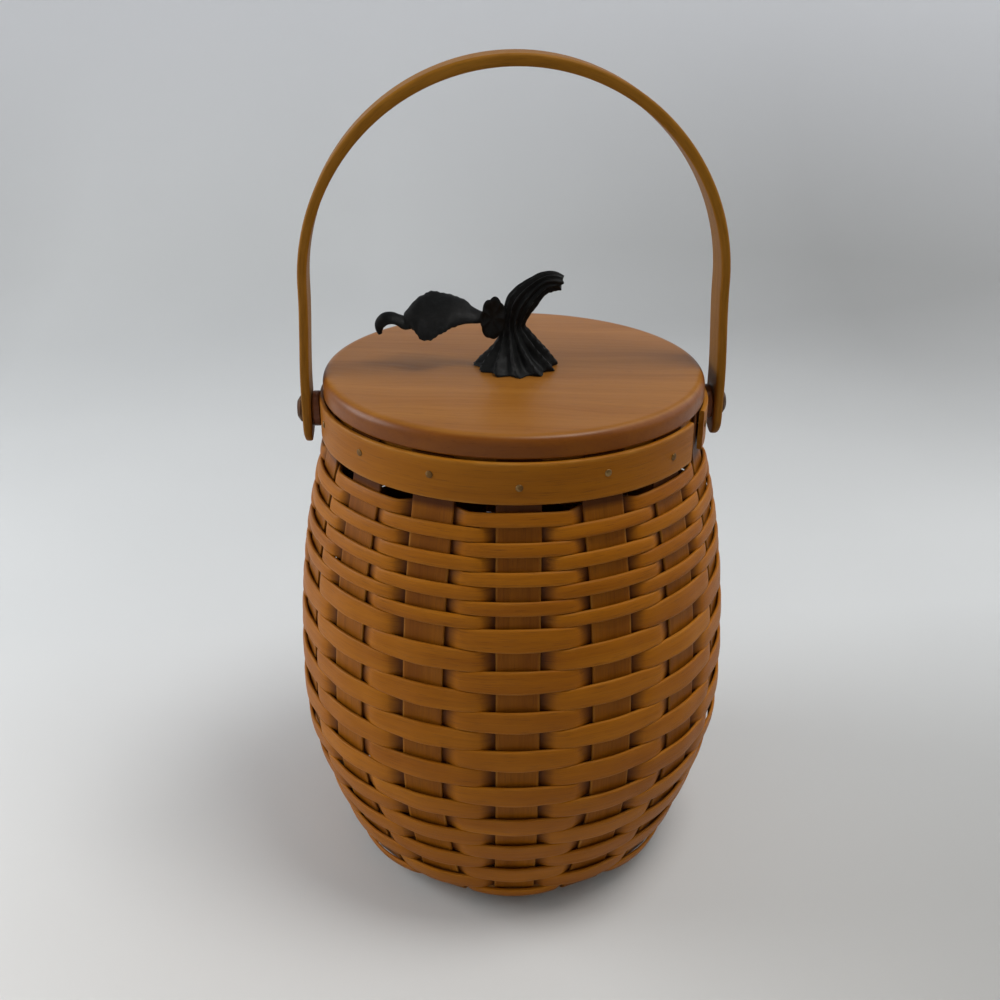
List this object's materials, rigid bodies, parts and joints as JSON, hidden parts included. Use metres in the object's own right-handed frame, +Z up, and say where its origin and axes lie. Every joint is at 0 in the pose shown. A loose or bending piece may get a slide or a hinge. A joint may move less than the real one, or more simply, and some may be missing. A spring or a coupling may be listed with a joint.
{
  "type": "barrel basket",
  "caption": "Barrel-shaped basket of flat splints woven on upright stakes, with a nailed rim, a riveted swing handle and a lift-off wooden lid whose knob is a cast stem and leaf.",
  "frame": {"origin": "centre of the flat underside of the base board", "axes": "+Z up along the basket's axis, -Y the front, +X to the right; the handle's pivots lie on a line along X"},
  "size_m": [0.2167, 0.2166, 0.3963],
  "materials": {
    "stake_wood": "stained ash splint, satin, fine straight grain",
    "weaver_wood": "stained ash splint, satin, fine straight grain",
    "band_wood": "stained ash strip, satin, grain along the band",
    "handle_wood": "steam-bent ash strip, satin, grain along the strip",
    "lid_wood": "turned maple board, satin lacquer over a honey-brown stain",
    "board_wood": "turned maple board, matt stain",
    "boss_wood": "dark stained hardwood, satin",
    "knob_iron": "sand-cast, matt black coating",
    "rivet_metal": "dark antiqued brass",
    "nail_metal": "dulled brass",
    "screw_steel": "bright zinc-plated steel"
  },
  "bodies": {
    "basket": {"base_board": "board_wood", "stake_01": "stake_wood", "stake_02": "stake_wood", "stake_03": "stake_wood", "stake_04": "stake_wood", "stake_05": "stake_wood", "stake_06": "stake_wood", "stake_07": "stake_wood", "stake_08": "stake_wood", "stake_09": "stake_wood", "stake_10": "stake_wood", "stake_11": "stake_wood", "stake_12": "stake_wood", "stake_13": "stake_wood", "stake_14": "stake_wood", "stake_15": "stake_wood", "wide_weaver_1": "weaver_wood", "wide_weaver_2": "weaver_wood", "wide_weaver_3": "weaver_wood", "wide_weaver_4": "weaver_wood", "wide_weaver_5": "weaver_wood", "narrow_weaver_1": "weaver_wood", "narrow_weaver_2": "weaver_wood", "inner_band": "band_wood", "outer_band": "band_wood", "nail_01": "nail_metal", "nail_02": "nail_metal", "nail_03": "nail_metal", "nail_04": "nail_metal", "nail_06": "nail_metal", "nail_07": "nail_metal", "nail_08": "nail_metal", "nail_09": "nail_metal", "nail_10": "nail_metal", "nail_11": "nail_metal", "nail_12": "nail_metal", "nail_13": "nail_metal", "nail_14": "nail_metal", "nail_15": "nail_metal", "boss_left": "boss_wood", "rivet_left": "rivet_metal", "washer_left": "rivet_metal", "boss_right": "boss_wood", "rivet_right": "rivet_metal", "washer_right": "rivet_metal"},
    "handle": {"handle": "handle_wood"},
    "lid": {"lid_board": "lid_wood", "lid_keeper": "board_wood", "keeper_screw_1": "screw_steel", "keeper_screw_2": "screw_steel", "keeper_screw_3": "screw_steel", "knob_stem": "knob_iron", "knob_leaf": "knob_iron", "knob_bolt": "screw_steel"}
  },
  "joints": [
    {"name": "handle_swing", "type": "hinge", "parent": "basket", "child": "handle", "pos_m": [0, 0, 0.23644], "axis": [1, 0, 0], "range_deg": [-130, 130]},
    {"name": "lid_lift", "type": "slide", "parent": "basket", "child": "lid", "axis": [0, 0, 1], "range_m": [0, 0.06]}
  ]
}
